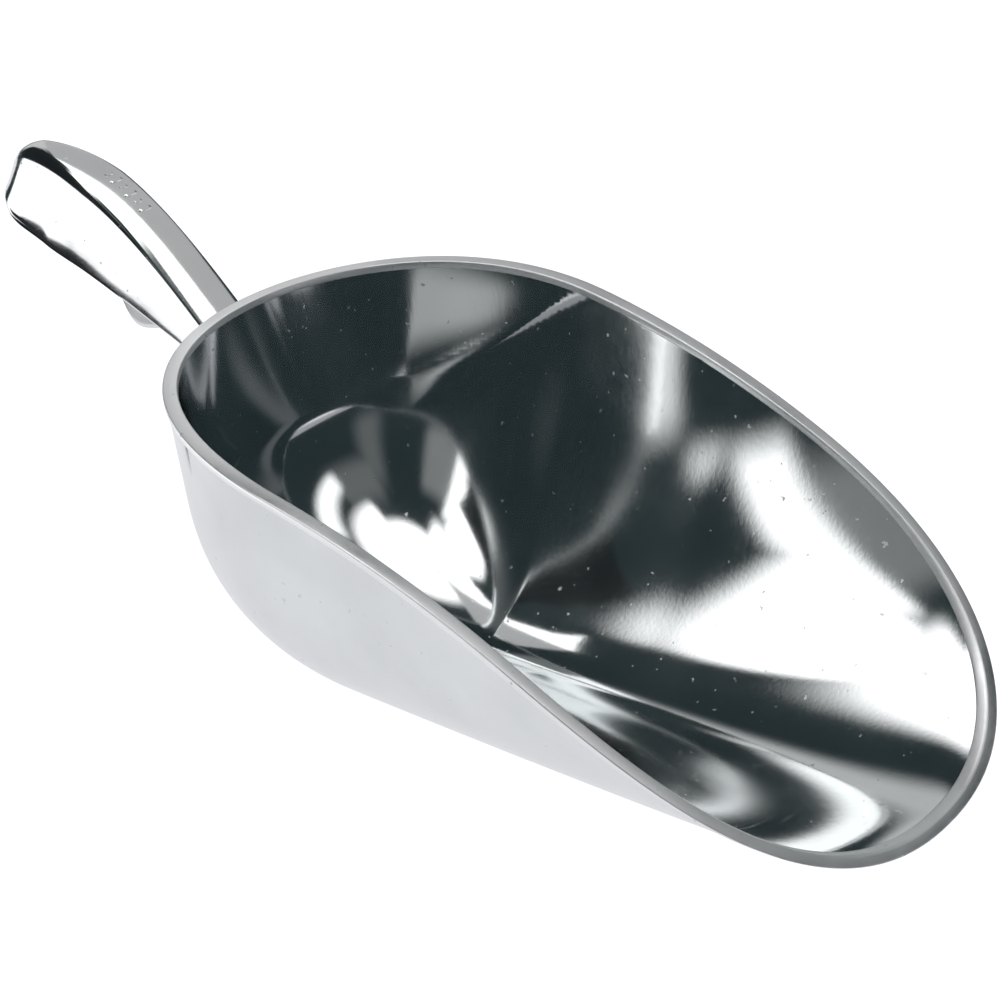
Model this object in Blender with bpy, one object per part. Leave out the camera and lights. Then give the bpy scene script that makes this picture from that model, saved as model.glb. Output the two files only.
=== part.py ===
"""Ice scoop of cast aluminium: a deep trough-shaped bowl, a rim band, a tapered handle and a finger rest.

The origin is on the surface that the scoop stands on, under the centre of the bowl's rounded back end.
+X points out of the mouth, -X along the handle, +Z up, and the XZ plane is the plane of symmetry.
"""

import math

import bmesh
import bpy
import numpy as np

# Driving dimensions, in metres.
BOWL_LENGTH = 0.237
BACK_RADIUS = 0.0825  # length of the rounded back end, along X
HALF_WIDTH = 0.0678
MOUTH_NARROWING = 0.0026  # how much narrower each side is at the mouth
BACK_HEIGHT = 0.093  # top of the rim at the back
WALL_TOP = 0.061  # height at which the section's curve has become a vertical wall
LIP_RISE = 0.0035  # how far the floor rises towards the lip
FOOT_DEPTH = 0.0008  # how much of the rounded bottom is ground away to a flat foot
RIM_POWER = 2.47  # how sharply the rim line dips towards the lip
SECTION_POWER = 2.18  # 2 is an ellipse, and more is a squarer section

WALL = 0.003
LIP_WALL = 0.0015  # the wall thins to this at the lip
RIM_HEIGHT = 0.0024
RIM_PROUD = 0.2  # how far the rim stands out from each side of the wall, in wall thicknesses
RIM_CORNER = 0.3  # radius of the rim's corners, as a share of its height
GAP = 0.0003

# The handle's side view: its top edges and its lower edges, each a cubic Bezier of (x, z) from root to butt.
HANDLE_TOP = ((-0.078, 0.0785), (-0.105, 0.1050), (-0.128, 0.1385), (-0.172, 0.1280))
HANDLE_BOTTOM = ((-0.086, 0.0740), (-0.116, 0.0905), (-0.136, 0.1020), (-0.170, 0.1085))
TOP_HALF_WIDTH = 0.0083
ROOT_HALF_WIDTH = 0.0088
BUTT_HALF_WIDTH = 0.0148
CROWN = 0.0018
TOP_EDGE_RADIUS = 0.0012
BOTTOM_EDGE_RADIUS = 0.0022
BUTT_START = 0.76  # where along the handle the rounded butt begins
BUTT_POWER = 2.5
HANDLE_WALL = 0.003
CHANNEL_START = -0.03
CHANNEL_END = 0.93  # where along the handle the channel under it ends
CHANNEL_LEAD = 0.06  # how much sooner than the butt the channel begins to narrow
CHANNEL_TOP_RADIUS = 0.001
CHANNEL_EDGE_RADIUS = 0.0004
CHANNEL_LEAST = 0.06  # least size of the channel's section at its end, as a share
CHANNEL_OVERRUN = 0.004  # how far the channel's cutter reaches below the handle

# The finger rest fills the channel from the bowl to here, and its lobe hangs below the handle's sides.
REST_END = 0.48
LOBE_START = 0.14
LOBE_DROP = 0.0085
WEB_DROP = 0.0010
REST_CROWN = 0.0011
REST_TOP_RADIUS = 0.001
REST_BOTTOM_RADIUS = 0.0022

ALUMINIUM = (0.80, 0.81, 0.82, 1.0)
FRONT = BOWL_LENGTH - BACK_RADIUS  # x of the lip
BACK_WALL_CUT = (0.06, 0.11)  # heights between which the handle is cut to the back wall

# How finely the surfaces are divided.
DOME_RAYS = 30
TROUGH_RAYS = 26
RINGS = 14
SECTION_POINTS = 60
WALL_POINTS = 14
GRIP_RINGS = 22
BUTT_RINGS = 14
CHANNEL_RINGS = 24
BACK_WALL_POINTS = 160
SIDE_PLACES = (0.2, 0.4, 0.6, 0.8)  # where a straight side of a section has points
SHARP_ANGLE = math.radians(35)


def clear_scene():
    for obj in list(bpy.data.objects):
        bpy.data.objects.remove(obj, do_unlink=True)


def aluminium(name, roughness):
    material = bpy.data.materials.new(name)
    material.use_nodes = True
    shader = material.node_tree.nodes["Principled BSDF"]
    shader.inputs["Base Color"].default_value = ALUMINIUM
    shader.inputs["Metallic"].default_value = 1.0
    shader.inputs["Roughness"].default_value = roughness
    return material


def add_object(name, mesh, material):
    obj = bpy.data.objects.new(name, mesh)
    bpy.context.scene.collection.objects.link(obj)
    mesh.materials.append(material)
    mesh.shade_smooth()
    mesh.set_sharp_from_angle(angle=SHARP_ANGLE)
    return obj


def mesh_from_rings(name, rings, loop, closed_rings=True, caps=(False, False)):
    """A mesh from rings of points: loop joins the last ring to the first, caps close the two ends instead."""
    bm = bmesh.new()
    rows = [[bm.verts.new(point) for point in ring] for ring in rings]
    pairs = list(zip(rows, rows[1:] + rows[:1])) if loop else list(zip(rows, rows[1:]))
    for first, second in pairs:
        count = len(first)
        for i in range(count if closed_rings else count - 1):
            j = (i + 1) % count
            bm.faces.new((first[i], first[j], second[j], second[i]))
    for wanted, row in zip(caps, (rows[0], rows[-1])):
        if wanted:
            bm.faces.new(row)
    bmesh.ops.remove_doubles(bm, verts=bm.verts, dist=1e-6)
    bmesh.ops.dissolve_degenerate(bm, edges=bm.edges, dist=1e-6)
    bmesh.ops.recalc_face_normals(bm, faces=bm.faces)
    mesh = bpy.data.meshes.new(name)
    bm.to_mesh(mesh)
    bm.free()
    return mesh


# ---- The bowl's surfaces ----
# A ray runs from the middle of the floor up the wall to the rim. Rays of the trough lie in planes of
# constant x, and rays of the rounded back fan out from the origin. "across" is 0 on the outer face and 1 on
# the inner face.


def along(x):
    """Place along the bowl: 0 at the back, 1 at the lip."""
    return min(max((x + BACK_RADIUS) / BOWL_LENGTH, 0.0), 1.0)


def wall_thickness(x):
    return WALL + (LIP_WALL - WALL) * along(x) ** 4


def floor_height(x, across):
    rise = LIP_RISE * (max(x, 0.0) / FRONT) ** 3
    return rise - FOOT_DEPTH + across * wall_thickness(x)


def cut_height(x, depth):
    """Height of the surface that cuts the bowl off, depth below the rim's top face."""
    reach = max((x + BACK_RADIUS) / BOWL_LENGTH, 0.0)
    drop = BACK_HEIGHT - floor_height(FRONT, 0.0)
    slope = drop / BOWL_LENGTH * RIM_POWER * reach ** (RIM_POWER - 1)
    return BACK_HEIGHT - drop * reach**RIM_POWER - depth * math.hypot(1.0, slope)


def lip_end(across, depth):
    """Where the floor meets the cut."""
    low, high = 0.0, FRONT * 1.1
    for _ in range(50):
        middle = (low + high) / 2
        if cut_height(middle, depth) > floor_height(middle, across):
            low = middle
        else:
            high = middle
    return low


def section_curve(floor, top):
    """(share of the half width, height) from the floor up to top, on the section's curve and wall."""
    depth = WALL_TOP - floor
    reached = min((top - floor) / depth, 1.0)
    last = math.acos(max(1.0 - reached, 0.0) ** (SECTION_POWER / 2))
    turn = np.linspace(0.0, last, SECTION_POINTS)
    share = np.sin(turn) ** (2 / SECTION_POWER)
    height = floor + depth * (1.0 - np.cos(turn) ** (2 / SECTION_POWER))
    if top > WALL_TOP:
        wall = np.linspace(WALL_TOP, top, WALL_POINTS)[1:]
        share = np.append(share, np.ones(len(wall)))
        height = np.append(height, wall)
    return share, height


def evenly(points, count):
    """The same path with its points at even distances."""
    steps = np.linalg.norm(np.diff(points, axis=0), axis=1)
    place = np.append(0.0, np.cumsum(steps))
    wanted = np.linspace(0.0, place[-1], count)
    return np.column_stack([np.interp(wanted, place, points[:, axis]) for axis in range(3)])


def trough_ray(side, fraction, across, depth):
    x = lip_end(across, depth) * (1.0 - (1.0 - fraction) ** 2)
    floor = floor_height(x, across)
    share, height = section_curve(floor, max(cut_height(x, depth), floor))
    half = HALF_WIDTH - MOUTH_NARROWING * x / FRONT - across * wall_thickness(x)
    return np.column_stack([np.full(len(share), x), side * half * share, height])


def dome_ray(angle, across, depth):
    """A ray of the rounded back, at an angle of 0 towards -Y and of 180 degrees towards +Y."""
    rim_x = -BACK_RADIUS * math.sin(angle)
    inset = across * wall_thickness(rim_x)
    share, height = section_curve(floor_height(0.0, across), cut_height(rim_x, depth))
    x = -(BACK_RADIUS - inset) * math.sin(angle) * share
    y = -(HALF_WIDTH - inset) * math.cos(angle) * share
    return np.column_stack([x, y, height])


def bowl_rays(across, depth):
    """Every ray in order: from the lip back along the -Y side, round the back, forward along the +Y side."""
    rays = [trough_ray(-1, 1 - i / TROUGH_RAYS, across, depth) for i in range(TROUGH_RAYS)]
    rays += [dome_ray(math.pi * i / DOME_RAYS, across, depth) for i in range(DOME_RAYS + 1)]
    rays += [trough_ray(1, i / TROUGH_RAYS, across, depth) for i in range(1, TROUGH_RAYS)]
    return rays


def build_bowl():
    depth = RIM_HEIGHT + GAP
    outer = [evenly(ray, RINGS + 1) for ray in bowl_rays(0.0, depth)]
    inner = [evenly(ray, RINGS + 1) for ray in bowl_rays(1.0, depth)]
    for ray in outer:
        ray[:, 2] = np.maximum(ray[:, 2], 0.0)
    rings = [np.vstack([out, into[::-1]]) for out, into in zip(outer, inner)]
    mesh = mesh_from_rings("bowl", rings, loop=True, closed_rings=False)
    return add_object("bowl", mesh, aluminium("bowl_metal", 0.16))


def build_rim_band():
    """The band is a rounded bar swept round the rim, across the wall and down from the rim's top face."""
    corner = RIM_CORNER
    places = []
    for turn in range(4):
        for step in range(4):
            angle = math.radians(90 * turn + 30 * step)
            right, up = turn in (0, 3), turn in (0, 1)
            across = (1 - corner if right else corner) + corner * math.cos(angle)
            depth = (corner if up else 1 - corner) - corner * math.sin(angle)
            places.append((across * (1 + 2 * RIM_PROUD) - RIM_PROUD, depth * RIM_HEIGHT))
    loops = [[ray[-1] for ray in bowl_rays(across, depth)] for across, depth in places]
    rings = list(zip(*loops))
    mesh = mesh_from_rings("rim_band", rings, loop=True)
    return add_object("rim_band", mesh, aluminium("rim_metal", 0.22))


# ---- The handle ----


def bezier(points, t):
    weights = ((1 - t) ** 3, 3 * t * (1 - t) ** 2, 3 * t**2 * (1 - t), t**3)
    return sum(weight * np.array(point) for weight, point in zip(weights, points))


def butt_scale(t, start, end):
    """1 along the grip, falling to 0 at the end of the rounded butt."""
    past = min(max((t - start) / (end - start), 0.0), 1.0)
    return (1.0 - past**BUTT_POWER) ** (1 / BUTT_POWER)


def fillet(before, corner, after, radius, steps):
    """Points of an arc that rounds a corner."""
    corner = np.array(corner)
    to_before = np.array(before) - corner
    to_after = np.array(after) - corner
    to_before /= np.linalg.norm(to_before)
    to_after /= np.linalg.norm(to_after)
    half_angle = math.acos(float(to_before @ to_after)) / 2
    centre = corner + (to_before + to_after) * radius / math.sin(2 * half_angle)
    start = corner + to_before * radius / math.tan(half_angle) - centre
    end = corner + to_after * radius / math.tan(half_angle) - centre
    sweep = math.pi - 2 * half_angle
    turns = np.linspace(0.0, 1.0, steps + 1)
    parts = [(math.sin((1 - u) * sweep) * start + math.sin(u * sweep) * end) / math.sin(sweep) for u in turns]
    return [centre + part for part in parts]


def handle_section(top_half, bottom_half, top, bottom, crown, top_radius, bottom_radius):
    """(y, height) round one section: over the crowned top, down one side, along the bottom, up the other."""
    corners = [(-top_half, top), (top_half, top), (bottom_half, bottom), (-bottom_half, bottom)]
    radii = (top_radius, top_radius, bottom_radius, bottom_radius)
    steps = (3, 3, 5, 5)
    points = []
    for i, corner in enumerate(corners):
        arc = fillet(corners[i - 1], corner, corners[(i + 1) % 4], radii[i], steps[i])
        if points:
            points += [points[-1] + (arc[0] - points[-1]) * u for u in SIDE_PLACES]
        points += arc
    points += [points[-1] + (points[0] - points[-1]) * u for u in SIDE_PLACES]
    return [(y, v + crown * max(0.0, 1 - (y / top_half) ** 2) * (v > (top + bottom) / 2)) for y, v in points]


def handle_frame(t):
    """Centre, upward direction and half depth of the handle at t, in the XZ plane."""
    top, bottom = bezier(HANDLE_TOP, t), bezier(HANDLE_BOTTOM, t)
    half_depth = float(np.linalg.norm(top - bottom)) / 2
    return (top + bottom) / 2, (top - bottom) / (2 * half_depth), half_depth


def bottom_half_width(t):
    reach = min(t / BUTT_START, 1.0)
    return ROOT_HALF_WIDTH + (BUTT_HALF_WIDTH - ROOT_HALF_WIDTH) * reach


def side_half_width(t, v, half_depth):
    """Half width between the handle's outer sides at height v of the section, also above and below it."""
    return TOP_HALF_WIDTH + (bottom_half_width(t) - TOP_HALF_WIDTH) * (half_depth - v) / (2 * half_depth)


def placed(section, centre, up):
    return [(centre[0] + up[0] * v, y, centre[1] + up[1] * v) for y, v in section]


def cutter(name, mesh):
    obj = bpy.data.objects.new(name, mesh)
    bpy.context.scene.collection.objects.link(obj)
    obj.hide_render = True
    obj.display_type = "WIRE"
    return obj


def cut(obj, tool):
    modifier = obj.modifiers.new(tool.name, "BOOLEAN")
    modifier.operation = "DIFFERENCE"
    modifier.object = tool


def back_wall_cutter():
    """The bowl's back wall with the gap round it: an upright elliptical cylinder past the handle's root."""
    turns = [2 * math.pi * i / BACK_WALL_POINTS for i in range(BACK_WALL_POINTS)]
    outline = [((BACK_RADIUS + GAP) * math.cos(a), (HALF_WIDTH + GAP) * math.sin(a)) for a in turns]
    rings = [[(x, y, z) for x, y in outline] for z in BACK_WALL_CUT]
    mesh = mesh_from_rings("cutter_back_wall", rings, loop=False, caps=(True, True))
    return cutter("cutter_back_wall", mesh)


def channel_cutter():
    """The channel under the handle, open downwards and closed by the butt."""
    rings = []
    for i in range(CHANNEL_RINGS + 1):
        t = CHANNEL_START + (CHANNEL_END - CHANNEL_START) * i / CHANNEL_RINGS
        centre, up, half_depth = handle_frame(t)
        scale = max(butt_scale(t, BUTT_START - CHANNEL_LEAD, CHANNEL_END), CHANNEL_LEAST)
        top = half_depth * scale - HANDLE_WALL * min(1.0, scale * 2)
        bottom = -half_depth - CHANNEL_OVERRUN
        section = handle_section(
            (side_half_width(t, top, half_depth) - HANDLE_WALL) * scale,
            (side_half_width(t, bottom, half_depth) - HANDLE_WALL) * scale,
            top,
            bottom,
            CROWN * scale,
            CHANNEL_TOP_RADIUS * scale,
            CHANNEL_EDGE_RADIUS * scale,
        )
        rings.append(placed(section, centre, up))
    return cutter("cutter_channel", mesh_from_rings("cutter_channel", rings, loop=False, caps=(True, True)))


def build_handle(back_wall):
    rings = []
    stations = [BUTT_START * i / GRIP_RINGS for i in range(GRIP_RINGS)]
    turns = [math.pi / 2 * i / BUTT_RINGS for i in range(BUTT_RINGS)]
    stations += [BUTT_START + (1 - BUTT_START) * math.sin(turn) for turn in turns]
    for t in stations:
        centre, up, half_depth = handle_frame(t)
        scale = butt_scale(t, BUTT_START, 1.0)
        section = handle_section(
            TOP_HALF_WIDTH * scale,
            bottom_half_width(t) * scale,
            half_depth * scale,
            -half_depth * scale,
            CROWN * scale,
            TOP_EDGE_RADIUS * scale,
            BOTTOM_EDGE_RADIUS * scale,
        )
        rings.append(placed(section, centre, up))
    centre, _, _ = handle_frame(1.0)
    rings.append([(centre[0], 0.0, centre[1])] * len(rings[0]))
    mesh = mesh_from_rings("handle", rings, loop=False, caps=(True, False))
    obj = add_object("handle", mesh, aluminium("handle_metal", 0.2))
    cut(obj, channel_cutter())
    cut(obj, back_wall)
    return obj


def rest_drop(t):
    """How far the finger rest hangs below the handle's lower edges."""
    reach = min(max((t - LOBE_START) / (REST_END - LOBE_START), 0.0), 1.0)
    return WEB_DROP + (LOBE_DROP - WEB_DROP) * math.sin(math.pi * reach**1.3) ** 2


def build_finger_rest(back_wall):
    rings = []
    for i in range(CHANNEL_RINGS + 1):
        t = REST_END * i / CHANNEL_RINGS
        centre, up, half_depth = handle_frame(t)
        top = half_depth - HANDLE_WALL - GAP
        bottom = -half_depth - rest_drop(t)
        section = handle_section(
            side_half_width(t, top, half_depth) - HANDLE_WALL - GAP,
            side_half_width(t, bottom, half_depth) - HANDLE_WALL - GAP,
            top,
            bottom,
            REST_CROWN,
            REST_TOP_RADIUS,
            REST_BOTTOM_RADIUS,
        )
        rings.append(placed(section, centre, up))
    mesh = mesh_from_rings("finger_rest", rings, loop=False, caps=(True, True))
    obj = add_object("finger_rest", mesh, aluminium("rest_metal", 0.26))
    cut(obj, back_wall)
    return obj


def main():
    clear_scene()
    back_wall = back_wall_cutter()
    build_bowl()
    build_rim_band()
    build_handle(back_wall)
    build_finger_rest(back_wall)


main()
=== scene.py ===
"""Looks of the cast aluminium ice scoop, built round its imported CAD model. Metres, in the CAD model's frame.

The scoop is one polished casting: a trough-shaped bowl with a rounded back, a rim band, a hollow tapered
handle with generic raised bars on its crown, and a finger rest below it.
"""

import math

import bmesh
import bpy
import numpy as np
from mathutils import Matrix, Vector


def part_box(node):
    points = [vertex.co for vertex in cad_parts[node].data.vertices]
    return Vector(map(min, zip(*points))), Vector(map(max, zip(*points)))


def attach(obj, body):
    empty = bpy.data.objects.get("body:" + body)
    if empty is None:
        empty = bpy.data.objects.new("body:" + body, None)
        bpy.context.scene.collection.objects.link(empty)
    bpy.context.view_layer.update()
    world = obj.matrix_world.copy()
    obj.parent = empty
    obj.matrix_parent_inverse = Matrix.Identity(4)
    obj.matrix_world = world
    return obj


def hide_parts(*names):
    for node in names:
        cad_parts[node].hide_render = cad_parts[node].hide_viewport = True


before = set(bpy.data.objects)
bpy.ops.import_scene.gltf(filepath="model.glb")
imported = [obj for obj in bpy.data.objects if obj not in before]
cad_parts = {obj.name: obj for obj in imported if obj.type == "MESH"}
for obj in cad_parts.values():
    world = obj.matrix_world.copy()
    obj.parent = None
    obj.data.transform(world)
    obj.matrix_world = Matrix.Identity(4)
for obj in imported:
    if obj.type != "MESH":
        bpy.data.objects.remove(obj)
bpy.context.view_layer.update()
BOWL_LOW, BOWL_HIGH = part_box("bowl")
RIM_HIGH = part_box("rim_band")[1]

# ---- Driving dimensions, in metres. The first ones are read from the frame. ----
BACK_RADIUS = -BOWL_LOW.x
HALF_WIDTH = BOWL_HIGH.y
BACK_HEIGHT = RIM_HIGH.z
LIP_PAST_RIM = 0.0002
FRONT = RIM_HIGH.x + LIP_PAST_RIM
BOWL_LENGTH = FRONT + BACK_RADIUS
MOUTH_NARROWING = 0.0026
NARROWING_EASE = 0.02
WALL_TOP = 0.061
LIP_RISE = 0.0035
FOOT_DEPTH = 0.0008
RIM_POWER = 2.47
SECTION_POWER = 2.18
WALL = 0.003
LIP_WALL = 0.0015

# The inside is rounder than the outside, and its walls lean outwards: knee height, how far above the knee the
# fillet's own centre is, power of the fillet, and the share by which the wall leans in from rim to floor.
TROUGH_INSIDE = (0.085, 0.031, 1.80, 0.115)
BACK_INSIDE = (0.049, 0.001, 1.80, 0.028)
BLEND_POWER = 1.6  # how the inside changes from the trough's profile to the rounded back's
BLEND_HALFWAY = 0.5
JUNCTION_EASE = 0.05  # length on either side of the junction over which the inside is eased

RIM_HEIGHT = 0.0024
RIM_PROUD = 0.0006
RIM_CORNER = 0.0005
RIM_OVERLAP = 0.0004

# Four control points of the curve of the handle's top, and four of its bottom, as x and z.
HANDLE_TOP = ((-0.078, 0.0785), (-0.105, 0.1050), (-0.128, 0.1385), (-0.172, 0.1280))
HANDLE_BOTTOM = ((-0.086, 0.0740), (-0.116, 0.0905), (-0.136, 0.1020), (-0.170, 0.1085))
TOP_HALF_WIDTH = 0.0083
ROOT_HALF_WIDTH = 0.0088
BUTT_HALF_WIDTH = 0.0148
CROWN = 0.0014
TOP_TAPER_START = 0.62  # from here to the butt's end the top narrows
TOP_TAPER_POWER = 1.2
TOP_BUTT_HALF_WIDTH = 0.0030
TOP_EDGE_RADII = (0.0008, 0.0036)  # at the root and at the butt
BOTTOM_EDGE_RADII = (0.0014, 0.0042)
RADII_GROW = (0.2, 0.95)  # the places along the handle between which such pairs change over
BUTT_START = 0.76
NOSE_RADIUS = 0.0125  # of the butt's rounded end, in side view
NOSE_EDGE_RADIUS = 0.0085
NOSE_TOP_SHARE = 0.3  # how much of the nose's narrowing the top takes
LEAST_DEPTH = 0.004  # share of the full depth that is left at the very end
LEAST_TOP_HALF_WIDTH = 0.0008
HANDLE_WALL = 0.003
LOWER_WALLS = (0.003, 0.0052)
CHANNEL_TAPER = 0.66
CHANNEL_END = 0.84
CHANNEL_POWER = 2.2
CHANNEL_MOUTH_RADIUS = 0.0005
CHANNEL_ROOF_RADIUS = 0.0012
CHANNEL_LEAST_SHARE = 0.35  # of the channel's width, where it has run out
CHANNEL_LEAST_HALF_WIDTH = 0.0002
ROOT_SINK = 0.0012  # how far the handle's root is sunk into the bowl's back wall
REST_END = 0.48
LOBE_START = 0.14
LOBE_DROP = 0.0085
LOBE_NARROWING = 0.0006
LOBE_LATENESS = 1.3
WEB_DROP = 0.0010
REST_SINK_SHARE = 0.9  # how deep the rest is sunk into the channel's walls
REST_TOP_RADIUS = 0.001
REST_BOTTOM_RADIUS = 0.0034

# The raised bars on the handle's crown: places along the handle, and sizes in metres.
MARK_COUNT = 6
MARK_START = 0.47
MARK_END = 0.62
MARK_SIDE = 0.0020
MARK_HALF_LENGTH = 0.0024
MARK_HALF_WIDTH = 0.00065
MARK_HEIGHT = 0.0003
MARK_SINK = 0.0006
MARK_SHORTER = 0.6  # every second bar is this much shorter
MARK_SQUARENESS = 0.6

# ---- How finely the surfaces are divided ----
DOME_RAYS = 96
TROUGH_RAYS = 90
RINGS = 80
ARC_POINTS = 240
UPRIGHT_POINTS = 60
RIM_CORNER_STEPS = 4
GRIP_RINGS = 70
BUTT_RINGS = 40
REST_RINGS = 60
SIDE_POINTS = 8
REST_SIDE_POINTS = 10
MARK_POINTS = 20
SEARCH_STEPS = 50
ROOT_SEARCH_STEPS = 16
WELD = 1e-6
SHARP_ANGLE = 40


# ---- Mesh helpers ----


def mesh_from_rings(name, rings, loop, closed_rings=True, caps=(False, False)):
    """A mesh from rings of points: loop joins the last ring to the first, caps close the two ends instead."""
    bm = bmesh.new()
    rows = [[bm.verts.new(point) for point in ring] for ring in rings]
    pairs = list(zip(rows, rows[1:] + rows[:1])) if loop else list(zip(rows, rows[1:]))
    for first, second in pairs:
        count = len(first)
        for i in range(count if closed_rings else count - 1):
            j = (i + 1) % count
            bm.faces.new((first[i], first[j], second[j], second[i]))
    for wanted, row in zip(caps, (rows[0], rows[-1])):
        if wanted:
            bm.faces.new(row)
    bmesh.ops.remove_doubles(bm, verts=bm.verts, dist=WELD)
    bmesh.ops.dissolve_degenerate(bm, edges=bm.edges, dist=WELD)
    bmesh.ops.recalc_face_normals(bm, faces=bm.faces)
    mesh = bpy.data.meshes.new(name)
    bm.to_mesh(mesh)
    bm.free()
    return mesh


def piece(name, mesh, material, nodes=()):
    """A finished piece of the scoop that stands for these CAD nodes."""
    obj = bpy.data.objects.new(name, mesh)
    bpy.context.scene.collection.objects.link(obj)
    mesh.materials.append(material)
    mesh.shade_smooth()
    mesh.set_sharp_from_angle(angle=math.radians(SHARP_ANGLE))
    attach(obj, "root")
    if nodes:
        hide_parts(*nodes)
    return obj


def evenly(points, count):
    """The same path with its points at even distances."""
    steps = np.linalg.norm(np.diff(points, axis=0), axis=1)
    place = np.append(0.0, np.cumsum(steps))
    wanted = np.linspace(0.0, place[-1], count)
    return np.column_stack([np.interp(wanted, place, points[:, axis]) for axis in range(3)])


# ---- The bowl ----
# A ray runs from the middle of the floor up the wall to the rim. Rays of the trough lie in planes of
# constant x, and rays of the rounded back fan out from the origin. "inset" is how far a surface lies inside
# the outer face.


def wall_thickness(x):
    place = min(max((x + BACK_RADIUS) / BOWL_LENGTH, 0.0), 1.0)
    return WALL + (LIP_WALL - WALL) * place**4


def floor_height(x, inset):
    return LIP_RISE * (max(x, 0.0) / FRONT) ** 3 - FOOT_DEPTH + inset


def cut_height(x, depth):
    """Height of the surface that cuts the bowl off, depth below the rim's top face."""
    reach = max((x + BACK_RADIUS) / BOWL_LENGTH, 0.0)
    drop = BACK_HEIGHT - floor_height(FRONT, 0.0)
    slope = drop / BOWL_LENGTH * RIM_POWER * reach ** (RIM_POWER - 1)
    return BACK_HEIGHT - drop * reach**RIM_POWER - depth * math.hypot(1.0, slope)


def lip_end(inset_of, depth):
    """Where the floor meets the cut."""
    low, high = 0.0, FRONT * 1.1
    for _ in range(SEARCH_STEPS):
        middle = (low + high) / 2
        if cut_height(middle, depth) > floor_height(middle, inset_of(middle)):
            low = middle
        else:
            high = middle
    return low


def arc_shares(floor, top, knee, extra, power):
    """(share of the half width, height) along a superellipse up to the knee, and an upright wall above it."""
    depth = knee + extra - floor
    at_knee = extra / depth
    widest = (1.0 - at_knee**power) ** (1 / power)
    lowest = max(1.0 - (top - floor) / depth, at_knee)
    turn = np.linspace(0.0, math.acos(lowest ** (power / 2)), ARC_POINTS)
    share = np.sin(turn) ** (2 / power) / widest
    height = floor + depth * (1.0 - np.cos(turn) ** (2 / power))
    if top > knee:
        wall = np.linspace(knee, top, UPRIGHT_POINTS)[1:]
        share = np.append(share, np.ones(len(wall)))
        height = np.append(height, wall)
    return share, height


# A section function gives the profile of one ray. Floor and top are its ends, bare_floor is the outer face's
# floor, angle is the ray's turn round the back, and x is where the ray meets the rim.


def outer_section(floor, top, bare_floor, angle, x):
    return arc_shares(floor, top, WALL_TOP, 0.0, SECTION_POWER)


def inner_section(floor, top, bare_floor, angle, x):
    """The inner profile, as wide as the outer one at the rim."""
    turned = abs(math.sin(angle)) ** BLEND_POWER
    back = turned * (1.0 + BLEND_HALFWAY) / (turned + BLEND_HALFWAY)
    knee, extra, power, lean = (t + (b - t) * back for t, b in zip(TROUGH_INSIDE, BACK_INSIDE))
    share, height = arc_shares(floor, top, knee, extra, power)
    start = cut_height(0.0, RIM_HEIGHT)
    away = min(abs(x) / JUNCTION_EASE, 1.0)
    eased = top + (start - top) * (1.0 - away * away * (3.0 - 2.0 * away))
    wide = arc_shares(floor, eased, knee, extra, power)[0][-1]
    at_rim = arc_shares(bare_floor, top, WALL_TOP, 0.0, SECTION_POWER)[0][-1]
    return share / wide * at_rim * (1.0 - lean * (eased - height) / BACK_HEIGHT), height


def trough_ray(side, fraction, inset_of, section, depth):
    x = lip_end(inset_of, depth) * (1.0 - (1.0 - fraction) ** 2)
    floor = floor_height(x, inset_of(x))
    top = max(cut_height(x, depth), floor + WELD)
    share, height = section(floor, top, floor_height(x, 0.0), 0.0, x)
    half = HALF_WIDTH - MOUTH_NARROWING * x * x / (x + NARROWING_EASE) / FRONT - inset_of(x)
    return np.column_stack([np.full(len(share), x), side * half * share, height])


def dome_ray(angle, inset_of, section, depth):
    """A ray of the rounded back, at an angle of 0 towards -Y and of 180 degrees towards +Y."""
    rim_x = -BACK_RADIUS * math.sin(angle)
    inset = inset_of(rim_x)
    floor, top = floor_height(0.0, inset), cut_height(rim_x, depth)
    share, height = section(floor, top, floor_height(0.0, 0.0), angle, rim_x)
    x = -(BACK_RADIUS - inset) * math.sin(angle) * share
    y = -(HALF_WIDTH - inset) * math.cos(angle) * share
    return np.column_stack([x, y, height])


def bowl_rays(inset_of, section, depth):
    """Every ray in order: from the lip back along the -Y side, round the back, forward along the +Y side."""
    common = (inset_of, section, depth)
    rays = [trough_ray(-1, 1 - i / TROUGH_RAYS, *common) for i in range(TROUGH_RAYS)]
    rays += [dome_ray(math.pi * i / DOME_RAYS, *common) for i in range(DOME_RAYS + 1)]
    rays += [trough_ray(1, i / TROUGH_RAYS, *common) for i in range(1, TROUGH_RAYS)]
    return rays


def no_inset(x):
    return 0.0


def build_bowl(material):
    depth = RIM_HEIGHT - RIM_OVERLAP
    outer = [evenly(ray, RINGS + 1) for ray in bowl_rays(no_inset, outer_section, depth)]
    inner = [evenly(ray, RINGS + 1) for ray in bowl_rays(wall_thickness, inner_section, depth)]
    for ray in outer:
        ray[:, 2] = np.maximum(ray[:, 2], 0.0)
    rings = [np.vstack([out, into[::-1]]) for out, into in zip(outer, inner)]
    mesh = mesh_from_rings("bowl_shell", rings, loop=True, closed_rings=False)
    return piece("bowl_shell", mesh, material, ["bowl"])


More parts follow.
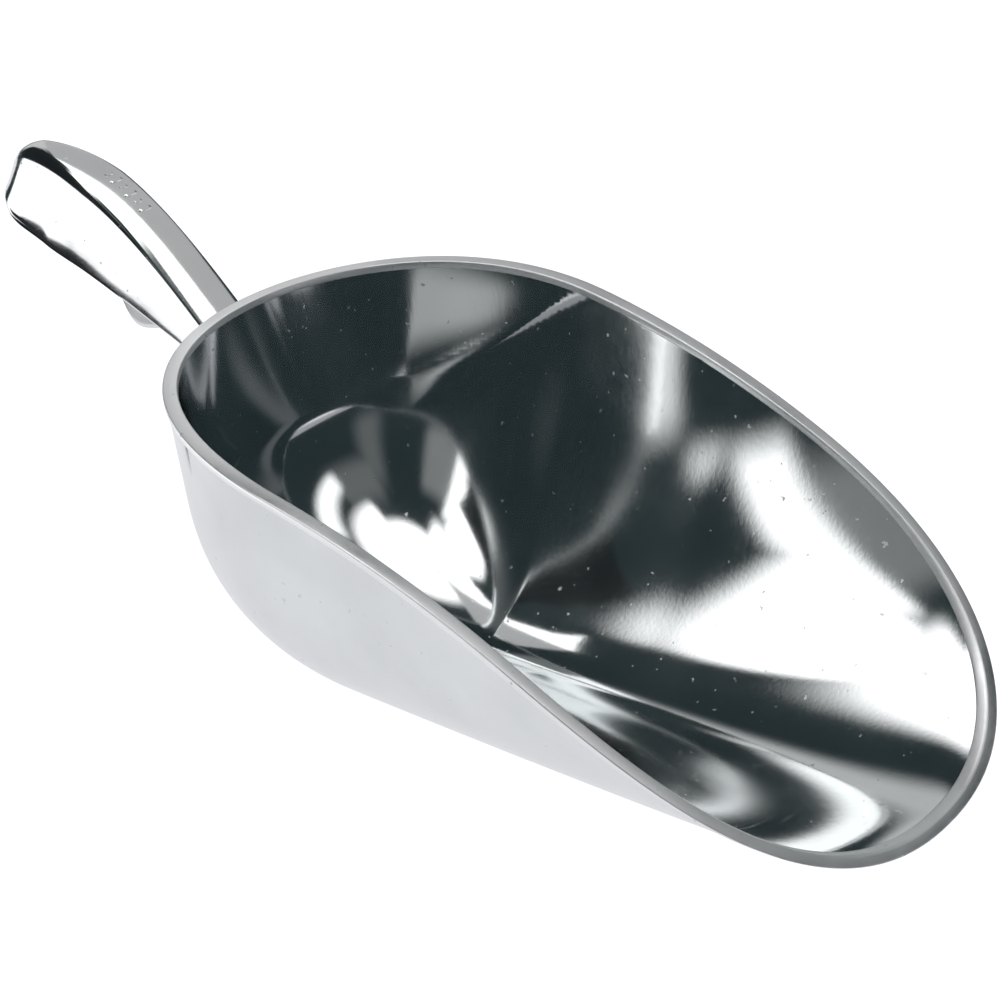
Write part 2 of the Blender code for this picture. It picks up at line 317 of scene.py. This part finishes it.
def build_rim_band(material):
    """A bar with rounded corners swept round the rim, across the wall and down from the rim's top face."""
    corners = ((1, 0), (0, 0), (0, 1), (1, 1))  # outer side or inner side, top or bottom
    loops = []
    for turn, (outer_side, lower) in enumerate(corners):
        for step in range(RIM_CORNER_STEPS + 1):
            angle = math.radians(90 * turn + 90 / RIM_CORNER_STEPS * step)
            reach = RIM_CORNER * (1 - math.cos(angle) if outer_side else 1 + math.cos(angle))
            if lower:
                sink = RIM_HEIGHT - RIM_CORNER * (1 + math.sin(angle))
            else:
                sink = RIM_CORNER * (1 - math.sin(angle))
            loops.append((outer_side, reach, sink))
    rings = []
    for outer_side, reach, sink in loops:
        def inset_of(x, outer_side=outer_side, reach=reach):
            if outer_side:
                return reach - RIM_PROUD
            return wall_thickness(x) + RIM_PROUD * wall_thickness(x) / WALL - reach
        rings.append([ray[-1] for ray in bowl_rays(inset_of, outer_section, sink)])
    mesh = mesh_from_rings("rim_band_visual", list(zip(*rings)), loop=True)
    return piece("rim_edge", mesh, material, ["rim_band"])


# ---- The handle ----


def bezier(points, t):
    weights = ((1 - t) ** 3, 3 * t * (1 - t) ** 2, 3 * t**2 * (1 - t), t**3)
    return sum(weight * np.array(point) for weight, point in zip(weights, points))


def handle_frame(t):
    """Centre, upward direction and half depth of the handle at t, in the XZ plane."""
    top, bottom = bezier(HANDLE_TOP, t), bezier(HANDLE_BOTTOM, t)
    half_depth = float(np.linalg.norm(top - bottom)) / 2
    return (top + bottom) / 2, (top - bottom) / (2 * half_depth), half_depth


def smooth(t, start, end):
    u = min(max((t - start) / (end - start), 0.0), 1.0)
    return u * u * (3 - 2 * u)


def handle_length():
    places = [handle_frame(t / SEARCH_STEPS)[0] for t in range(SEARCH_STEPS + 1)]
    return sum(float(np.linalg.norm(b - a)) for a, b in zip(places, places[1:]))


HANDLE_LENGTH = handle_length()


def rounding(past, power):
    """1 before 0, falling to 0 at 1 along a superellipse."""
    return (1.0 - min(max(past, 0.0), 1.0) ** power) ** (1 / power)


def grown(radii, t):
    return radii[0] + (radii[1] - radii[0]) * smooth(t, *RADII_GROW)


def top_half_width(t):
    taper = min(max((t - TOP_TAPER_START) / (1.0 - TOP_TAPER_START), 0.0), 1.0)
    return TOP_HALF_WIDTH + (TOP_BUTT_HALF_WIDTH - TOP_HALF_WIDTH) * taper**TOP_TAPER_POWER


def side_half_width(t, v, half_depth):
    """Half width between the handle's outer sides at height v of the section."""
    low = ROOT_HALF_WIDTH + (BUTT_HALF_WIDTH - ROOT_HALF_WIDTH) * min(t / BUTT_START, 1.0)
    top = top_half_width(t)
    return top + (low - top) * (half_depth - v) / (2 * half_depth)


def fillet(before, corner, after, radius, steps, limits):
    """Points of an arc that rounds a corner. The limits are the shares of the two sides that it may take."""
    before, corner, after = (np.array(p, float) for p in (before, corner, after))
    to_before, to_after = before - corner, after - corner
    reach_limit = min(share * np.linalg.norm(side) for share, side in zip(limits, (to_before, to_after)))
    to_before /= np.linalg.norm(to_before)
    to_after /= np.linalg.norm(to_after)
    half_angle = math.acos(float(np.clip(to_before @ to_after, -1, 1))) / 2
    radius = min(radius, reach_limit * math.tan(half_angle))
    centre = corner + (to_before + to_after) * radius / math.sin(2 * half_angle)
    start = corner + to_before * radius / math.tan(half_angle) - centre
    end = corner + to_after * radius / math.tan(half_angle) - centre
    sweep = math.pi - 2 * half_angle
    points = []
    for u in np.linspace(0.0, 1.0, steps + 1):
        points.append(centre + (math.sin((1 - u) * sweep) * start + math.sin(u * sweep) * end) / math.sin(sweep))
    return points


def rounded_outline(corners, radii, steps, between, limits):
    """A closed outline with rounded corners and evenly divided sides."""
    points = []
    count = len(corners)
    for i, corner in enumerate(corners):
        arc = fillet(corners[i - 1], corner, corners[(i + 1) % count], radii[i], steps[i], limits[i])
        if points:
            points += [points[-1] + (arc[0] - points[-1]) * k / between for k in range(1, between)]
        points += arc
    points += [points[-1] + (points[0] - points[-1]) * k / between for k in range(1, between)]
    return points


def crown_height(y, top_half, size):
    return CROWN * size * max(0.0, 1 - (y / top_half) ** 2)


def handle_section(t):
    """(y, height) round one section, an upside-down U: over the crown, down a side, and round the channel."""
    _, _, half_depth = handle_frame(t)
    left = (1.0 - t) * HANDLE_LENGTH
    deep = max(rounding(1.0 - left / NOSE_RADIUS, 2.0), LEAST_DEPTH)
    narrowing = NOSE_EDGE_RADIUS * (1.0 - rounding(1.0 - left / NOSE_EDGE_RADIUS, 2.0))
    top, bottom = half_depth * deep, -half_depth * deep
    low_half = side_half_width(t, -half_depth, half_depth)
    top_half = max(top_half_width(t) - narrowing * NOSE_TOP_SHARE, LEAST_TOP_HALF_WIDTH)
    bottom_half = low_half - narrowing
    hollow = rounding((t - CHANNEL_TAPER) / (CHANNEL_END - CHANNEL_TAPER), CHANNEL_POWER)
    roof = bottom + (2 * half_depth - HANDLE_WALL) * deep * hollow
    opened = CHANNEL_LEAST_SHARE + (1.0 - CHANNEL_LEAST_SHARE) * hollow
    mouth = max((bottom_half - grown(LOWER_WALLS, t)) * opened, CHANNEL_LEAST_HALF_WIDTH)
    roof_half = mouth * (side_half_width(t, roof, half_depth) - HANDLE_WALL) / (low_half - HANDLE_WALL)
    top_radius = grown(TOP_EDGE_RADII, t) * deep
    bottom_radius = grown(BOTTOM_EDGE_RADII, t) * deep
    flat = 1e-5
    corners = [
        (-top_half, top), (top_half, top), (bottom_half, bottom), (mouth, bottom),
        (roof_half, roof + flat), (-roof_half, roof + flat), (-mouth, bottom), (-bottom_half, bottom),
    ]
    mouth_radius, roof_radius = CHANNEL_MOUTH_RADIUS, CHANNEL_ROOF_RADIUS
    radii = (
        top_radius, top_radius, bottom_radius, mouth_radius, roof_radius, roof_radius, mouth_radius, bottom_radius,
    )
    even, before, after = (0.45, 0.45), (0.12, 0.45), (0.45, 0.12)
    limits = (even, even, (0.45, 0.85), before, even, even, after, (0.85, 0.45))
    points = rounded_outline(corners, radii, (8, 8, 10, 4, 4, 4, 4, 10), SIDE_POINTS, limits)
    lowest = top - top_radius * 1.2
    return [(y, v + crown_height(y, top_half, deep) * (v > lowest)) for y, v in points]


def back_wall_x(y):
    return -(BACK_RADIUS - ROOT_SINK) * math.sqrt(1 - (y / (HALF_WIDTH - ROOT_SINK)) ** 2)


def place_section(section, t):
    centre, up, _ = handle_frame(t)
    return [(centre[0] + up[0] * v, y, centre[1] + up[1] * v) for y, v in section]


def root_places(section_at, latest):
    """For each point of the section, the t at which it comes out of the bowl's back wall."""
    count = len(section_at(0.0))
    low, high = [-0.05] * count, [latest] * count
    for _ in range(ROOT_SEARCH_STEPS):
        for j in range(count):
            middle = (low[j] + high[j]) / 2
            x, y, _ = place_section([section_at(middle)[j]], middle)[0]
            if x > back_wall_x(y):
                low[j] = middle
            else:
                high[j] = middle
    return high


def loft_from_wall(section_at, shares, end, latest=0.3):
    """Rings of a bar that starts on the bowl's curved back wall."""
    starts = root_places(section_at, latest)
    rings = []
    for share in shares:
        places = [start + (end - start) * share for start in starts]
        known = {}
        ring = []
        for j, t in enumerate(places):
            if t not in known:
                known[t] = place_section(section_at(t), t)
            ring.append(known[t][j])
        rings.append(ring)
    return rings


def build_handle(material):
    nose = NOSE_RADIUS / HANDLE_LENGTH
    grip = [(1 - nose) * i / GRIP_RINGS for i in range(GRIP_RINGS)]
    butt = [1 - nose * (1 - math.sin(math.pi / 2 * i / BUTT_RINGS)) for i in range(BUTT_RINGS + 1)]
    rings = loft_from_wall(handle_section, grip + butt, 1.0)
    mesh = mesh_from_rings("handle_casting", rings, loop=False, caps=(True, True))
    return piece("handle_casting", mesh, material, ["handle"])


def rest_section(t):
    _, _, half_depth = handle_frame(t)
    reach = min(max((t - LOBE_START) / (REST_END - LOBE_START), 0.0), 1.0)
    lobe = math.sin(math.pi * reach**LOBE_LATENESS) ** 2
    sunk = HANDLE_WALL * REST_SINK_SHARE
    top = half_depth - sunk
    bottom = -half_depth - WEB_DROP - (LOBE_DROP - WEB_DROP) * lobe
    top_half = side_half_width(t, top, half_depth) - sunk
    bottom_half = side_half_width(t, bottom, half_depth) - sunk - LOBE_NARROWING * lobe
    corners = [(-top_half, top), (top_half, top), (bottom_half, bottom), (-bottom_half, bottom)]
    radii = (REST_TOP_RADIUS, REST_TOP_RADIUS, REST_BOTTOM_RADIUS, REST_BOTTOM_RADIUS)
    return rounded_outline(corners, radii, (3, 3, 10, 10), REST_SIDE_POINTS, [(0.45, 0.45)] * 4)


def build_finger_rest(material):
    rings = loft_from_wall(rest_section, [i / REST_RINGS for i in range(REST_RINGS + 1)], REST_END)
    mesh = mesh_from_rings("finger_rest_lobe", rings, loop=False, caps=(True, True))
    return piece("finger_rest_lobe", mesh, material, ["finger_rest"])


def crown_point(t, y, above):
    centre, up, half_depth = handle_frame(t)
    height = half_depth + crown_height(y, top_half_width(t), 1.0) + above
    return (centre[0] + up[0] * height, y, centre[1] + up[1] * height)


def squared(value):
    """A sine or cosine made squarer, so that a circle becomes a rounded bar."""
    return math.copysign(abs(value) ** MARK_SQUARENESS, value)


def build_grip_marks(material):
    """A row of low raised bars on the crown, in place of the maker's stamped mark."""
    layers = ((1.0, -MARK_SINK), (1.0, 0.0), (0.9, MARK_HEIGHT * 0.7), (0.55, MARK_HEIGHT))
    turns = [2 * math.pi * k / MARK_POINTS for k in range(MARK_POINTS)]
    bm = bmesh.new()
    for i in range(MARK_COUNT):
        middle = MARK_START + (MARK_END - MARK_START) * i / (MARK_COUNT - 1)
        half_wide = MARK_HALF_LENGTH * (1.0 if i % 2 == 0 else MARK_SHORTER)
        rows = []
        for size, above in layers:
            row = []
            for turn in turns:
                across = MARK_SIDE + half_wide * size * squared(math.cos(turn))
                along = middle + MARK_HALF_WIDTH * size * squared(math.sin(turn)) / HANDLE_LENGTH
                row.append(bm.verts.new(crown_point(along, across, above)))
            rows.append(row)
        for first, second in zip(rows, rows[1:]):
            for k in range(MARK_POINTS):
                after = (k + 1) % MARK_POINTS
                bm.faces.new((first[k], first[after], second[after], second[k]))
        bm.faces.new(rows[0])
        bm.faces.new(rows[-1])
    bmesh.ops.recalc_face_normals(bm, faces=bm.faces)
    mesh = bpy.data.meshes.new("grip_marks")
    bm.to_mesh(mesh)
    bm.free()
    return piece("grip_marks", mesh, material)


# ---- Materials ----


class Nodes:
    """A short way to write node trees: each method adds one node and returns its output."""

    def __init__(self, tree):
        self.tree = tree

    def add(self, kind, **settings):
        node = self.tree.nodes.new(kind)
        for key, value in settings.items():
            setattr(node, key, value)
        return node

    def put(self, socket, value):
        if isinstance(value, bpy.types.NodeSocket):
            self.tree.links.new(value, socket)
        else:
            socket.default_value = value

    def math(self, operation, *values):
        node = self.add("ShaderNodeMath", operation=operation)
        for socket, value in zip(node.inputs, values):
            self.put(socket, value)
        return node.outputs[0]

    def ramp(self, value, start, end, low=0.0, high=1.0, kind="SMOOTHSTEP"):
        """low before start, high after end."""
        node = self.add("ShaderNodeMapRange", interpolation_type=kind)
        names = ("Value", "From Min", "From Max", "To Min", "To Max")
        for name, item in zip(names, (value, start, end, low, high)):
            self.put(node.inputs[name], item)
        return node.outputs[0]

    def mix(self, share, first, second, kind="RGBA"):
        node = self.add("ShaderNodeMix", data_type=kind)
        sockets = [socket for socket in node.inputs if socket.enabled]
        for socket, value in zip(sockets, (share, first, second)):
            self.put(socket, value)
        return [socket for socket in node.outputs if socket.enabled][0]


CLOUD_SCALE, LINE_SCALE, PIT_SCALE = 28.0, 900.0, 420.0  # per metre
PIT_RANGE = (0.70, 0.76)
PIT_COLOUR = (0.35, 0.34, 0.33, 1)
DULL_SHARE = 0.90
BUMP_DEPTH = 0.0004


def metal(name, roughness, grain, tint, pits=0.0, brushed=(1.0, 1.0, 1.0)):
    """Polished cast aluminium: fine polishing lines, cloudy patches and small pits. A small value in brushed draws
    the lines out along that axis."""
    material = bpy.data.materials.new(name)
    material.use_nodes = True
    nodes = Nodes(material.node_tree)
    shader = material.node_tree.nodes["Principled BSDF"]
    shader.inputs["Metallic"].default_value = 1.0
    place = nodes.add("ShaderNodeTexCoord").outputs["Object"]

    def noise(scale, detail, stretch=(1.0, 1.0, 1.0)):
        mapping = nodes.add("ShaderNodeMapping")
        nodes.put(mapping.inputs["Vector"], place)
        mapping.inputs["Scale"].default_value = stretch
        node = nodes.add("ShaderNodeTexNoise")
        nodes.put(node.inputs["Vector"], mapping.outputs[0])
        node.inputs["Scale"].default_value = scale
        node.inputs["Detail"].default_value = detail
        return node.outputs["Fac"]

    clouds = noise(CLOUD_SCALE, 4.0)
    lines = noise(LINE_SCALE, 3.0, brushed)
    speckle = noise(PIT_SCALE, 2.0)
    marks = nodes.ramp(speckle, *PIT_RANGE)
    rough = nodes.ramp(clouds, 0.3, 0.7, roughness * 0.75, roughness * 1.3, "LINEAR")
    streaks = nodes.math("MULTIPLY", nodes.math("SUBTRACT", lines, 0.5), roughness * 0.5)
    rough = nodes.math("ADD", rough, streaks)
    nodes.put(shader.inputs["Roughness"], nodes.math("ADD", rough, nodes.math("MULTIPLY", marks, pits)))
    dull = tuple(channel * DULL_SHARE for channel in tint)
    colour = nodes.mix(nodes.ramp(clouds, 0.25, 0.75), (*dull, 1), (*tint, 1))
    colour = nodes.mix(nodes.math("MULTIPLY", marks, pits), colour, PIT_COLOUR)
    nodes.put(shader.inputs["Base Color"], colour)
    bump = nodes.add("ShaderNodeBump")
    bump.inputs["Strength"].default_value = grain
    bump.inputs["Distance"].default_value = BUMP_DEPTH
    height = nodes.math("ADD", nodes.math("MULTIPLY", lines, 0.12), nodes.math("MULTIPLY", clouds, 0.5))
    height = nodes.math("SUBTRACT", height, nodes.math("MULTIPLY", marks, pits * 0.3))
    nodes.put(bump.inputs["Height"], height)
    nodes.put(shader.inputs["Normal"], bump.outputs[0])
    return material


# ---- Camera, floor and lights ----


CAMERA_SENSOR, CAMERA_LENS = 36.0, 84.76  # in mm
CAMERA_AZIMUTH, CAMERA_ELEVATION, CAMERA_ROLL = 45.006, 29.699, -8.18
CAMERA_LOOK_AT = Vector((0.015285, 0.0, 0.055276))
CAMERA_DISTANCE = 0.640838


def make_camera():
    data = bpy.data.cameras.new("camera")
    data.sensor_width = CAMERA_SENSOR
    data.lens = CAMERA_LENS
    camera = bpy.data.objects.new("camera", data)
    bpy.context.scene.collection.objects.link(camera)
    azimuth, elevation, roll = map(math.radians, (CAMERA_AZIMUTH, CAMERA_ELEVATION, CAMERA_ROLL))
    level = math.cos(elevation)
    back = Vector((math.sin(azimuth) * level, -math.cos(azimuth) * level, math.sin(elevation)))
    right = Vector((math.cos(azimuth), math.sin(azimuth), 0.0))
    up = back.cross(right)
    rolled_right = right * math.cos(roll) + up * math.sin(roll)
    rolled_up = up * math.cos(roll) - right * math.sin(roll)
    turn = Matrix((rolled_right, rolled_up, back)).transposed()
    camera.matrix_world = Matrix.Translation(CAMERA_LOOK_AT + back * CAMERA_DISTANCE) @ turn.to_4x4()
    data.clip_start, data.clip_end = 0.05, 50.0
    bpy.context.scene.camera = camera


# Softboxes of the studio, as seen from the scoop: azimuth of the centre from +X towards +Y, half width, lowest
# and highest elevation, all in degrees; then brightness, softness in azimuth and in elevation, and how much the
# box climbs per degree of azimuth.
SOFTBOXES = (
    (0, 180, 76, 95, 1.6, 10, 6, 0.0),
    (125, 140, 66, 95, 1.6, 12, 8, 0.0),
    (-132, 26, 48, 75, 1.6, 8, 6, -0.35),
    (-105, 5, 22, 62, 1.5, 5, 8, 0.0),
    (-90, 12, 27, 56, 0.20, 8, 10, 0.0),
    (30, 28, 47, 58, 1.5, 14, 8, 0.15),
    (100, 40, 30, 46, 0.50, 12, 10, 0.0),
    (150, 24, 5, 40, 0.60, 12, 12, 0.0),
    (-38, 8, 12, 58, 0.10, 12, 20, 0.0),
    (-15, 24, 42, 66, 0.12, 14, 16, 0.0),
    (-121, 10, -5, 18, 0.85, 6, 8, 0.0),
)
STUDIO_DARK = (0.022, 0.034, 0.037, 1)
WHITE = (1.0, 1.0, 1.0, 1)


def make_world():
    """White behind the scoop; its reflections see a dark studio with softboxes."""
    world = bpy.data.worlds.new("studio")
    bpy.context.scene.world = world
    world.use_nodes = True
    nodes = Nodes(world.node_tree)
    background = world.node_tree.nodes["Background"]
    place = nodes.add("ShaderNodeTexCoord").outputs["Generated"]
    split = nodes.add("ShaderNodeSeparateXYZ")
    nodes.put(split.inputs[0], place)
    azimuth = nodes.math("DEGREES", nodes.math("ARCTAN2", split.outputs[1], split.outputs[0]))
    elevation = nodes.math("DEGREES", nodes.math("ARCSINE", split.outputs[2]))
    light = 0.0
    for centre, half, low, high, bright, soft_az, soft_el, climb in SOFTBOXES:
        aside = nodes.math("WRAP", nodes.math("SUBTRACT", azimuth, float(centre)), 180.0, -180.0)
        level = elevation
        if climb:
            level = nodes.math("SUBTRACT", elevation, nodes.math("MULTIPLY", aside, climb))
        across = bright
        if half < 180:
            beside = nodes.math("ABSOLUTE", aside)
            across = nodes.ramp(beside, half - soft_az / 2, half + soft_az / 2, bright, 0.0)
        bottom = nodes.ramp(level, low - soft_el / 2, low + soft_el / 2)
        top = nodes.ramp(level, high - soft_el / 2, high + soft_el / 2, 1.0, 0.0)
        box = nodes.math("MULTIPLY", nodes.math("MULTIPLY", bottom, top), across)
        light = nodes.math("MAXIMUM", box, light)
    glow = nodes.mix(light, STUDIO_DARK, WHITE)
    strength = nodes.math("MAXIMUM", light, 1.0)
    seen = nodes.add("ShaderNodeLightPath").outputs["Is Camera Ray"]
    nodes.put(background.inputs["Color"], nodes.mix(seen, glow, WHITE))
    nodes.put(background.inputs["Strength"], nodes.mix(seen, strength, 1.0, "FLOAT"))


CARD_BLACK = (0.02, 0.025, 0.027, 1)


def make_card(name, corners, glow):
    """A card with these corners that only reflections see: glowing, or black where glow is 0."""
    mesh = bpy.data.meshes.new(name)
    mesh.from_pydata([tuple(corner) for corner in corners], [], [tuple(range(len(corners)))])
    card = bpy.data.objects.new(name, mesh)
    bpy.context.scene.collection.objects.link(card)
    material = bpy.data.materials.new(name)
    material.use_nodes = True
    shader = material.node_tree.nodes["Principled BSDF"]
    shader.inputs["Base Color"].default_value = CARD_BLACK
    shader.inputs["Specular IOR Level"].default_value = 0.0
    shader.inputs["Roughness"].default_value = 1.0
    shader.inputs["Emission Color"].default_value = WHITE
    shader.inputs["Emission Strength"].default_value = glow
    mesh.materials.append(material)
    card.visible_camera = False
    card.visible_shadow = False
    card.visible_diffuse = False


def direction(azimuth, elevation):
    a, e = math.radians(azimuth), math.radians(elevation)
    return Vector((math.cos(a) * math.cos(e), math.sin(a) * math.cos(e), math.sin(e)))


# Cards near the handle: the point each one faces, its direction from there, distance, width, height and glow.
HANDLE_CARDS = {
    "card_beside_handle": ((-0.135, 0.0, 0.110), (-125, -8), 0.20, 0.32, 0.16, 1.35),
    "card_beside_ridge": ((-0.130, -0.007, 0.118), (-132, 40), 0.085, 0.20, 0.07, 0.0),
}
# A low black card beside the handle, which its lower edge reflects: the card's upper edge, and its height.
LOW_CARD_EDGE = (
    (-0.210, -0.040, 0.119), (-0.188, -0.046, 0.1130), (-0.172, -0.050, 0.1045), (-0.159, -0.053, 0.0955),
    (-0.150, -0.053, 0.0855),
    (-0.1375, -0.051, 0.078), (-0.1266, -0.047, 0.0662),
)
LOW_CARD_HEIGHT = 0.035
# Two cards over the handle's crown, meeting along one edge: for places from the root to the butt, the point on
# the crown, then the directions in which it sees the white card's far edge, the shared edge and the grey card's
# far edge.
CROWN_CARDS = (
    ((-0.084, 0.0, 0.086), (-15, 48), (30, 42), (74, 15)),
    ((-0.0886, 0.0, 0.0909), (-12, 60), (38, 46), (80, 18)),
    ((-0.0991, 0.0, 0.1017), (0, 74), (48, 50), (85, 20)),
    ((-0.1109, 0.0, 0.1127), (20, 86), (62, 55), (95, 22)),
    ((-0.1205, 0.0, 0.1199), (60, 86), (80, 61), (105, 22)),
    ((-0.1385, 0.0, 0.1285), (120, 86), (150, 64), (126, 15)),
    ((-0.1560, 0.0, 0.1315), (160, 86), (165, 60), (140, 10)),
)
CROWN_CARD_DISTANCE = 0.05
CROWN_WHITE, CROWN_GREY = 1.5, 0.46
BUTT_CARD = ((-0.26, -0.06, 0.07), (-0.15, -0.06, 0.07), (-0.15, 0.07, 0.07), (-0.26, 0.07, 0.07))


def make_cards():
    for name, (origin, (azimuth, elevation), distance, width, height, glow) in HANDLE_CARDS.items():
        away = direction(azimuth, elevation)
        centre = Vector(origin) + away * distance
        across = Vector((0, 0, 1)).cross(away).normalized() * width / 2
        up = away.cross(across).normalized() * height / 2
        left, right = centre - across, centre + across
        make_card(name, (left - up, right - up, right + up, left + up), glow)
    edges = [[], [], []]
    for point, *ways in CROWN_CARDS:
        for edge, way in zip(edges, ways):
            edge.append(Vector(point) + direction(*way) * CROWN_CARD_DISTANCE)
    make_card("card_white_over_crown", edges[0] + edges[1][::-1], CROWN_WHITE)
    make_card("card_grey_over_crown", edges[1] + edges[2][::-1], CROWN_GREY)
    lower = [(x, y, z - LOW_CARD_HEIGHT) for x, y, z in reversed(LOW_CARD_EDGE)]
    make_card("card_low_beside_handle", [*LOW_CARD_EDGE, *lower], 0.0)
    make_card("card_below_butt", BUTT_CARD, 0.0)


FLOOR_HALF = 6.0
FLOOR_DROP = 0.0002
FLOOR_COLOUR = (0.32, 0.32, 0.33, 1)
FLOOR_LIGHT = (0.97, 0.97, 1.0, 1)
FLOOR_GLOW = 0.80  # as reflections see it
FLOOR_SEEN = 1.1  # as the camera sees it
FLOOR_PAINTED_SHADOW = (0.12, 0.40, 0.84)  # painted shadow of the scoop on the floor, as reflections see it: the glow rises from this share of itself between these distances from the middle
FLOOR_PAINTED_SHADE_AHEAD = (0.22, 0.40, 0.3)  # and, as painted shade in front of the scoop, falls to this share of itself between these places there


def make_floor():
    mesh = bpy.data.meshes.new("studio_floor")
    half = FLOOR_HALF
    corners = [(-half, -half, 0), (half, -half, 0), (half, half, 0), (-half, half, 0)]
    mesh.from_pydata(corners, [], [(0, 1, 2, 3)])
    floor = bpy.data.objects.new("studio_floor", mesh)
    floor.location.z = -FLOOR_DROP
    bpy.context.scene.collection.objects.link(floor)
    material = bpy.data.materials.new("pale_floor")
    material.use_nodes = True
    nodes = Nodes(material.node_tree)
    shader = material.node_tree.nodes["Principled BSDF"]
    shader.inputs["Base Color"].default_value = FLOOR_COLOUR
    shader.inputs["Roughness"].default_value = 1.0
    shader.inputs["Specular IOR Level"].default_value = 0.0
    shader.inputs["Emission Color"].default_value = FLOOR_LIGHT
    seen = nodes.add("ShaderNodeLightPath").outputs["Is Camera Ray"]
    place = nodes.add("ShaderNodeTexCoord").outputs["Object"]
    split = nodes.add("ShaderNodeSeparateXYZ")
    nodes.put(split.inputs[0], place)
    away = nodes.add("ShaderNodeVectorMath", operation="LENGTH")
    nodes.put(away.inputs[0], place)
    # Painted shadow: the floor's glow, as reflections see it, is dimmed round the scoop's middle.
    inner, outer, share = FLOOR_PAINTED_SHADOW
    painted_shadow = nodes.ramp(away.outputs["Value"], inner, outer, FLOOR_GLOW * share, FLOOR_GLOW)
    # Painted shade: the floor's glow, as reflections see it, falls in front of the scoop.
    start, end, share = FLOOR_PAINTED_SHADE_AHEAD
    painted_shade_ahead = nodes.ramp(split.outputs[0], start, end, 1.0, share)
    glow = nodes.mix(seen, nodes.math("MULTIPLY", painted_shadow, painted_shade_ahead), FLOOR_SEEN, "FLOAT")
    nodes.put(shader.inputs["Emission Strength"], glow)
    mesh.materials.append(material)


build_bowl(metal("bowl_metal", 0.085, 0.10, (0.84, 0.86, 0.865), pits=0.25, brushed=(1.0, 1.0, 0.12)))
build_rim_band(metal("rim_metal", 0.42, 0.2, (0.95, 0.96, 0.965), pits=0.3))
handle_metal = metal("handle_metal", 0.11, 0.10, (0.85, 0.865, 0.87), pits=0.3, brushed=(0.15, 1.0, 1.0))
build_handle(handle_metal)
build_grip_marks(handle_metal)
build_finger_rest(metal("rest_metal", 0.32, 0.25, (0.84, 0.85, 0.855), pits=0.3))
make_camera()
make_floor()
make_cards()
make_world()
bpy.context.scene.view_settings.view_transform = "Standard"
